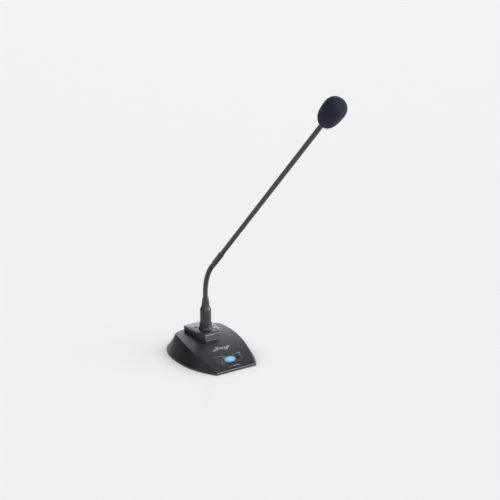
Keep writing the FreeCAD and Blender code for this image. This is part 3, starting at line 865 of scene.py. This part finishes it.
def front_highlight_bars():
    """Painted highlights: a bright metal strip along the lip of the base's front, and light bars along the edges
    of the block's front face.
    """
    out = Vector((0, -1, 0))
    # A bright strip along the front lip stands as a painted highlight.
    x, y = FLOOR_OUTLINE[0]
    z = PLATE_TOP + 0.35
    y += COVER_SETBACK
    strip = bar("front_lip_highlight", Vector((x - 1.2, y, z)), Vector((1.2 - x, y, z)), 0.4, 0.25, out)
    finish_as(strip, "base", "steel_screw", material="painted_lip_highlight")
    # Light bars along the edges of the block's front face stand as painted highlights.
    x, y = BLOCK_OUTLINE[0]
    top = BLOCK_TOP - 0.85
    low = top_height(0, y) + 0.5
    lean = BLOCK_LEAN * (BLOCK_TOP - low) / (BLOCK_TOP - BLOCK_FOOT_Z)
    corners = [Vector((x - 0.8, y, top)), Vector((0.7 - x, y, top)),
               Vector((0.7 + lean - x, y, low)), Vector((x - lean - 3.0, y, low))]
    bars = []
    for k, width in enumerate((0.75, 0.25, 0.25)):
        bars.append(bar("edge", corners[k], corners[k + 1], width, 0.12, out))
    finish_as(join("block_front_highlights", bars), "base", "block_plate", material="edge_highlight_paint")


def plate_screws():
    screws = []
    for k, (x, y) in enumerate(PLATE_SCREWS):
        place = Matrix.Translation((x, y, TOP_PLATE_TOP - 2.3))
        screws.append(cap_screw("screw%d" % k, place, 2.35, 1.4, 1.3, 4.2, 1.15))
    # The screws get the darker paint, which paints extra shade on their sunk heads.
    finish_as(join("plate_cap_screws", screws), "base", "black_screw", "plate_screws",
              material="shaded_sunk_screw")


def printed_mark():
    """A generic level mark on the slope, and two dashes beside the red light."""
    def strip(x0, x1, y0, y1, slant):
        rings = []
        for k in range(5):
            s = k / 4
            y = y0 + (y1 - y0) * s
            shift = slant * (y - y0)
            corners = []
            for x, lift in ((x0, -0.1), (x1, -0.1), (x1, 0.035), (x0, 0.035)):
                corners.append(Vector((x + shift, y, top_height(x + shift, y) + lift)))
            rings.append(corners)
        return loft("strip", rings)

    strips = []
    middle_y = -47.7
    spacing = 3.0
    half_width = 0.62
    marks = ((-2.8, -1.6), (-2.8, -0.2), (-2.8, 2.2), (-2.8, 5.2), (-1.4, 5.8), (-1.0, 2.6),
             (-2.4, 2.2), (-2.4, 2.4), (-5.2, 2.2), (-5.8, 0.8), (-3.4, 2.8), (-1.0, 2.8),
             (0.8, 2.8))
    for k, (low, high) in enumerate(marks):
        x = spacing * (k - 6)
        strips.append(strip(x - half_width, x + half_width, middle_y + low, middle_y + high, 0.2))
    for x0, x1 in ((-10.0, -5.0), (-3.2, 10.4)):
        strips.append(strip(x0, x1, -90.0, -89.45, 0.0))
    finish_as(join("printed_mark", strips), "base", "panel_gloss", material="printed_mark")


# ---------------- talk switch
def talk_switch():
    """The panel with a painted highlight along its rim, the ring, the lit button and the two lights."""
    outline = [Vector(p) for p in rounded(PANEL_OUTLINE, 2.0, True)]
    panel = loft("switch_panel",
                 layers(outline, ((-PANEL_DEPTH, 0.25), (-0.45, 0.1), (-0.25, 0.3)), PANEL))
    drill(panel, ellipse(BEZEL_A, BEZEL_B, 96), -9, 9, PANEL)
    drill(panel, ellipse(LIGHT_R, LIGHT_R, 24), -6, 6,
          PANEL @ Matrix.Translation((*POWER_LIGHT, 0)))
    finish_as(panel, "base", "panel_gloss", "control_panel")
    # A light bar along the rear left of the panel's rim stands as a painted highlight.
    up = (PANEL.to_3x3() @ Vector((0, 0, 1))).normalized()
    ends = [PANEL @ Vector((x, y, 0.0)) for x, y in ((-25.6, 12.9), (-6.0, 10.15))]
    finish_as(bar("panel_rim_highlight", *ends, 0.28, 0.06, up), "base", "panel_gloss", material="edge_highlight_paint")

    def oval(a, b, levels):
        return [[PANEL @ Vector((x, y, z)) for x, y in ellipse(a - shrink, b - shrink, 96)]
                for shrink, z in levels]

    rings = oval(BEZEL_A, BEZEL_B, ((0.03, -2.9), (0.03, -0.55), (0.12, -0.25), (0.4, -0.1),
                                    (0.75, -0.12), (1.02, -0.32), (1.12, -0.7), (1.15, -2.9)))
    finish_as(loft("bezel_ring", rings, closed=True), "base", "bezel", "button_bezel")
    rings = oval(BUTTON_A, BUTTON_B, ((0.3, -2.3), (0.0, -2.0), (0.0, 0.2), (0.12, 0.42),
                                      (0.45, 0.6), (1.3, 0.74), (2.8, 0.84), (4.4, 0.89)))
    rings.append([PANEL @ Vector((0, 0, 0.9))])
    finish_as(loft("talk_lens", rings), "talk_button", "button_lens", "talk_button")

    for name, light, slot, z in (("power_light_lens", POWER_LIGHT, "white_light", -0.75),
                                 ("record_light_lens", RECORD_LIGHT, "red_light", -0.5)):
        place = PANEL @ Matrix.Translation((*light, z))
        dome = [(0.85, -1.8)] + [(0.85 * math.cos(a), 0.35 * math.sin(a))
                                 for a in np.linspace(0, math.pi / 2, 7)]
        dome[-1] = (0.0, 0.35)
        node = name.replace("_lens", "")
        finish_as(lathe(name, dome, place, segments=32), "base", slot, node)


# ---------------- socket, plug and latch
def socket_and_plug():
    inner = PLUG_R + 0.2
    profile = [(inner, TOP_PLATE_TOP), (12.4, TOP_PLATE_TOP), (12.4, 44.8), (11.3, 46.3),
               (10.65, 49.0), (10.4, 53.0), (10.3, 55.5), (inner, 55.5)]
    finish_ring("socket_collar_ring", profile, 0.5, "base", "black_plastic", "socket_collar")
    profile = [(PLUG_BORE_R, PLUG_BOTTOM), (PLUG_R, PLUG_BOTTOM), (PLUG_R, PLUG_TOP - 3.4),
               (PLUG_R - 0.22, PLUG_TOP - 3.2), (PLUG_R - 0.22, PLUG_TOP - 2.7),
               (PLUG_R, PLUG_TOP - 2.5), (PLUG_R, PLUG_TOP), (PLUG_BORE_R, PLUG_TOP)]
    finish_ring("plug_barrel", profile, 0.35, "plug", "plug_black", "plug_shell")
    inner = NECK_R + 1.6
    outer = PLUG_R + 0.1
    profile = [(inner, PLUG_TOP), (outer, PLUG_TOP), (outer, RING_TOP), (8.1, 82.9),
               (7.8, SHOULDER_TOP), (inner, SHOULDER_TOP)]
    finish_ring("plug_shoulder", profile, 0.5, "plug", "plug_black", "shoulder_ring")
    profile = [(NECK_R, 77.0), (inner, 77.0), (inner, SHOULDER_TOP), (7.55, SHOULDER_TOP),
               (6.6, 89.5), (5.95, 94.5), (5.55, 98.5), (5.4, FERRULE_TOP), (NECK_R, FERRULE_TOP)]
    finish_ring("ferrule_cone", profile, 0.2, "plug", "plug_black", "neck_ferrule")


def release_tab():
    """The push tab behind the plug, with three grip ribs."""
    low = lowest("release_tab")
    high = highest("release_tab")
    ribs = [(low.y + 0.2, high.z - 0.35)]
    for k in range(3):
        y = low.y + 0.75 + 0.8 * k
        ribs.extend([(y - 0.2, high.z - 0.35), (y - 0.1, high.z), (y + 0.1, high.z),
                     (y + 0.2, high.z - 0.35)])
    ribs.append((high.y - 0.2, high.z - 0.35))
    outline = [(low.y, low.z), (low.y, high.z - 0.6)] + ribs + [(high.y, high.z - 0.6),
                                                                (high.y, low.z)]
    rings = []
    for x, shrink in ((low.x, 0.2), (low.x + 0.2, 0.0), (high.x - 0.2, 0.0), (high.x, 0.2)):
        middle_y = (low.y + high.y) / 2
        rings.append([Vector((x, middle_y + (y - middle_y) * (1 - shrink / 1.6),
                              z - shrink * (z > low.z + 1))) for y, z in outline])
    finish_as(loft("release_push_tab", rings), "release_tab", "black_plastic", "release_tab")


def release_spring():
    """The coil under the tab."""
    low = lowest("release_spring")
    high = highest("release_spring")
    wire = 0.2
    turns = 3
    middle = (low + high) / 2
    coil = (high.y - low.y) / 2 - wire
    rings = []
    for s in np.linspace(0, 1, 36 * turns + 1):
        a = 2 * math.pi * turns * s
        out = Vector((math.cos(a), math.sin(a), 0))
        centre = Vector((middle.x, middle.y, low.z + wire + (high.z - low.z - 2 * wire) * s))
        centre += out * coil
        rings.append([centre + (out * math.cos(b) + Vector((0, 0, 1)) * math.sin(b)) * wire
                      for b in np.linspace(0, 2 * math.pi, 12, endpoint=False)])
    spring = loft("tab_spring", rings)
    finish_as(spring, "base", "steel_screw", "release_spring")
    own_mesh(spring)


# ---------------- gooseneck
HINGES = 10
HINGE_POINTS = [Vector(JOINTS["neck_%s_%d" % ("pitch" if k % 2 == 0 else "side", k // 2 + 1)]
                       ["pos_m"]) / MM for k in range(HINGES)]


def neck_sheath():
    """The wound metal sheath, in one piece for each joint that it bends over.

    The last forward joint turns on a ball instead, with a fine gap round it.
    """
    chain = ["plug"] + ["link_%d" % k for k in range(1, HINGES)] + ["mic_head"]
    first = Vector((0, 0, FERRULE_TOP))
    last = upper(SLEEVE_START)
    below = [first - Vector((0, 0, 8.0)), first]
    beyond = [last, last + ALONG * 8.0]
    path = below + HINGE_POINTS + beyond
    knots = lengths(path)
    curve = spline(path, knots)
    start = knots[1]
    step = (knots[-2] - start) / HINGES
    winding = 1.5
    side = Vector((1, 0, 0))
    per_turn = 6
    ball = HINGES - 2
    turn = max(abs(limit) for limit in JOINTS["neck_pitch_1"]["range_deg"])
    gap = NECK_R * math.tan(math.radians(turn) / 2) + 0.12
    spans = {k: [start + step * k, start + step * (k + 1)] for k in range(HINGES) if k != ball}
    spans[0][0] -= 3.0                      # into the ferrule
    spans[HINGES - 1][1] += 3.0             # into the sleeve
    spans[ball - 1][1] = knots[ball + 2] - gap
    spans[ball + 1][0] = knots[ball + 2] + gap
    for k, (begin, end) in spans.items():
        count = int(round((end - begin) / winding * per_turn))
        outer = []
        inner = []
        for s in np.linspace(begin, end, count + 1):
            centre = Vector(curve(s)[0])
            along = Vector(curve(s + 0.05)[0] - curve(s - 0.05)[0]).normalized()
            across = along.cross(side).normalized()
            radius = NECK_R - 0.3 * max(0.0, 1.0 - (s - start) / 9.0) ** 2
            wound = []
            plain = []
            for n in range(48):
                a = 2 * math.pi * n / 48
                out = side * math.cos(a) + across * math.sin(a)
                phase = (s / winding - n / 48) % 1.0
                groove = 0.26 * abs(2 * phase - 1) ** 3
                wound.append(centre + out * (radius - groove))
                plain.append(centre + out * 3.0)
            outer.append(wound)
            inner.append(plain)
        piece = loft("neck_sheath_%d" % (k + 1), outer + inner[::-1], closed=True, sharp=60.0)
        replaced = ["neck_link_%d" % k] if k else ["neck_root"]
        if k == HINGES - 1:
            replaced.append("neck_tip")
        finish_as(piece, None, "neck_black", *replaced)
        low = Vector(curve(start + step * k + 0.6)[0])
        high = Vector(curve(start + step * (k + 1) - 0.6)[0])
        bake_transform(piece)
    section = [(1.2, -2.64)] + [(2.9 * math.cos(a), 2.9 * math.sin(a))
                                for a in np.linspace(-1.14, 1.14, 25)] + [(1.2, 2.64)]
    place = Matrix.Translation(HINGE_POINTS[ball]) @ Matrix.Rotation(TILT, 4, "X")
    finish_as(lathe("neck_ball", section, place, True, 48), chain[ball], "neck_black",
              "neck_link_%d" % ball)


def upper_parts():
    """The sleeve, the rigid tube and the capsule's housing."""
    reach = SLEEVE_END - SLEEVE_START
    profile = [(NECK_R, 0), (SLEEVE_R, 0), (SLEEVE_R, reach - 0.5), (SLEEVE_R - 0.35, reach),
               (TUBE_R, reach), (TUBE_R, 8.0), (NECK_R, 8.0)]
    finish_ring("sleeve", profile, 0.25, "mic_head", "neck_black", "neck_sleeve",
                on_tube(SLEEVE_START), 64)
    begin = SLEEVE_START + 8.0
    rings = [(TUBE_BORE_R, 0.0)]
    rings += [(TUBE_R, (TUBE_END - begin) * k / 12) for k in range(13)]
    rings.append((TUBE_BORE_R, TUBE_END - begin))
    finish_as(lathe("long_tube", rings, on_tube(begin), True, 64), "mic_head", "tube_black",
              "upper_tube")
    length = CAPSULE_END - CAPSULE_START
    step = TUBE_END - CAPSULE_START
    profile = [(TUBE_R, 0), (CAPSULE_R - 0.6, 0), (CAPSULE_R, 0.9), (CAPSULE_R, length),
               (4.3, length), (4.3, step), (TUBE_R, step)]
    finish_ring("capsule_body", profile, 0.3, "mic_head", "tube_black", "capsule_housing",
                on_tube(CAPSULE_START), 64)


def windscreen():
    """The foam: a blunt egg with a bored mouth, sagging a little, its skin full of open cells."""
    half = FOAM_HALF_LENGTH - 0.25
    radius = FOAM_R - 0.5
    skin = []
    for turn in np.linspace(0.0, math.pi, 161):
        power = 2 / (FOAM_BLUNTNESS + 0.25 * (turn > math.pi / 2))
        along = math.copysign(abs(math.cos(turn)) ** power, -math.cos(turn))
        out = math.sin(turn) ** power * (1 + FOAM_TAPER * along)
        skin.append((radius * out, half * along))
    skin[-1] = (0.0, half)
    skin = [p for p in skin if p[1] > 0 or p[0] > FOAM_BORE_R + 0.9]
    mouth = skin[0][1]
    bore_end = GRILLE_END - 3 - FOAM_CENTRE + 0.3
    bore = [(0.0, bore_end), (0.3 * FOAM_BORE_R, bore_end), (0.7 * FOAM_BORE_R, bore_end)]
    bore += [(FOAM_BORE_R, bore_end + (mouth + 1.2 - bore_end) * s) for s in np.linspace(0, 1, 40)]
    bore += [(FOAM_BORE_R + 0.12, mouth + 0.55), (FOAM_BORE_R + 0.45, mouth + 0.12)]
    foam = lathe("foam_ball", bore + skin, on_tube(FOAM_CENTRE), segments=240, sharp=80.0)
    centre = upper(FOAM_CENTRE)
    down = Vector((1, 0, 0)).cross(ALONG)
    normals = [v.normal.copy() for v in foam.data.vertices]
    for vertex, normal in zip(foam.data.vertices, normals):
        p = vertex.co / MM
        along = (p - centre).dot(ALONG)
        out = p - centre - ALONG * along
        if out.length < FOAM_BORE_R + 0.3 and along < bore_end + 0.5:
            continue
        cell = noise.voronoi(p / 1.2)[0][0]
        slow = noise.noise(p / 8.0)
        p += normal * (0.16 * slow - 0.32 * max(0.0, 0.5 - cell))
        free = 1.0
        if along < 0:
            free = min(1.0, (out.length - FOAM_BORE_R) / 2.5)
            stretch = 1.1 + 2.2 * out.dot(down) / FOAM_R
            p -= ALONG * stretch * free * (-along / half) ** 1.5
        vertex.co = (p + down * 0.4 * free) * MM
    tidy_mesh(foam, 80.0)
    finish_as(foam, "windscreen", "foam", "foam_windscreen")


# ---------------- output connector
def output_connector():
    """The connector's flange with rounded corners, and its barrel, as one die-cast piece."""
    plan = [Vector(p) for p in rounded(box_points(-12.8, 12.8, -11.3, 11.3), 3.0, True, 8)]
    plan = spread_loop([tuple(p) for p in plan], 120)
    flange = loft("output_flange",
                  layers(plan, ((0.0, 0.1), (1.5, 0.0), (1.85, 0.12), (2.0, 0.4)), OUTPUT))
    profile = rounded([(0.0, -22.5), (9.6, -22.5), (9.6, 1.0), (0.0, 1.0)], 0.4)
    cut(flange, lathe("barrel", profile, OUTPUT, segments=96), "UNION")
    drill(flange, ellipse(PLUG_BORE_R, PLUG_BORE_R, 96), -20.5, 5.0, OUTPUT)
    profile = [(PLUG_BORE_R, 1.95), (9.3, 1.95), (9.1, 2.35), (8.5, 2.4), (PLUG_BORE_R, 2.1)]
    rim = lathe("rim", profile, OUTPUT, True, 96)
    finish_as(tidy_mesh(flange, 32.0), "base", "black_screw", "output_shell")
    finish_as(rim, "base", "black_screw")


def cad_finishes():
    """CAD nodes whose shape is right get the materials of their slots."""
    for row in frame["record"]["subparts"]:
        node = NODES[row["node"]]
        if not node.hide_render:
            finish_as(node, None, row["material_slot"])


base_shell()
bottom_edge()
connector_block()
front_highlight_bars()
plate_screws()
printed_mark()
talk_switch()
socket_and_plug()
release_tab()
release_spring()
neck_sheath()
upper_parts()
windscreen()
output_connector()
cad_finishes()


# ---------------- stage, light and camera
def stage():
    """A plain pale floor. It glows a little, and less close to the object, which paints a soft contact shadow
    round it.
    """
    size = 9.0
    mesh = bpy.data.meshes.new("floor")
    mesh.from_pydata([(-size, -size, 0), (size, -size, 0), (size, size, 0), (-size, size, 0)], [],
                     [(0, 1, 2, 3)])
    floor = bpy.data.objects.new("floor", mesh)
    bpy.context.scene.collection.objects.link(floor)
    paint = Paint("floor", 0.07, Base_Color=(0.20, 0.198, 0.19, 1.0), Specular_IOR_Level=0.0,
                  Metallic=0.02, Emission_Color=(1.0, 1.0, 0.99, 1.0))
    # Its glow dims where ambient occlusion finds the object close by: a painted contact shadow.
    painted_contact_shadow = paint.node("AmbientOcclusion", Distance=0.035)
    paint.feed("Emission Strength", paint.span(painted_contact_shadow.outputs["AO"], 0.0, 0.655, 0.1, 1.0))
    mesh.materials.append(paint.material)


def surroundings(backdrop, glows):
    """A pale studio: even to the camera, and lit by broad glows of a direction and a strength."""
    world = bpy.data.worlds.new("studio")
    world.use_nodes = True
    bpy.context.scene.world = world
    sky = Graph(world.node_tree)
    direction = sky.node("TexCoord").outputs["Generated"]
    total = 0.0
    for towards, strength in glows:
        dot = sky.node("VectorMath")
        dot.operation = "DOT_PRODUCT"
        sky.fill(dot.inputs[0], direction)
        sky.fill(dot.inputs[1], Vector(towards).normalized())
        facing = sky.math("MAXIMUM", dot.outputs["Value"], 0.0)
        glow = sky.math("MULTIPLY", sky.math("POWER", facing, GLOW_TIGHTNESS), strength)
        total = sky.math("ADD", total, glow)
    seen = sky.node("LightPath").outputs["Is Camera Ray"]
    tint = sky.node("MixRGB", Fac=seen, Color1=(0.955, 0.97, 1.07, 1.0),
                    Color2=(1.0, 1.0, 1.0, 1.0))
    hidden = sky.math("MULTIPLY", sky.math("SUBTRACT", 1.0, seen), total)
    shown = sky.math("MULTIPLY", seen, backdrop)
    background = sky.nodes["Background"]
    sky.fill(background.inputs["Color"], tint.outputs["Color"])
    sky.fill(background.inputs["Strength"], sky.math("ADD", hidden, shown))


def camera():
    azimuth = math.radians(33.69)
    elevation = math.radians(19.74)
    distance = 3.065
    aim = Vector((0.0959, 0.0072, 0.1651))
    back = Vector((-math.sin(azimuth) * math.cos(elevation),
                   -math.cos(azimuth) * math.cos(elevation), math.sin(elevation)))
    data = bpy.data.cameras.new("camera")
    data.sensor_width = 36.0
    data.lens = 128.27
    data.clip_end = 50.0
    view = bpy.data.objects.new("camera", data)
    view.location = aim + back * distance
    view.rotation_euler = back.to_track_quat("Z", "Y").to_euler()
    bpy.context.scene.collection.objects.link(view)
    bpy.context.scene.camera = view


GLOW_TIGHTNESS = 12.0
GLOWS = [((0.55, 0.82, 0.14), 3.0),         # low, facing the camera
         ((0.97, 0.19, 0.14), 1.0),         # low, right of the object
         ((0.82, -0.55, 0.14), 10.9),       # low and strong, at the camera's right
         ((-0.55, -0.82, 0.14), 1.5),       # low, from the camera
         ((0.43, 0.64, 0.64), 1.2),         # high, facing the camera
         ((0.34, -0.69, 0.64), 2.8),        # high, at the camera's right
         ((-0.43, -0.64, 0.64), 2.3),       # high, from the camera
         ((-0.77, 0.05, 0.64), 0.7)]        # high, at the camera's left
stage()
surroundings(0.87, GLOWS)
camera()
bpy.context.scene.view_settings.view_transform = "Standard"
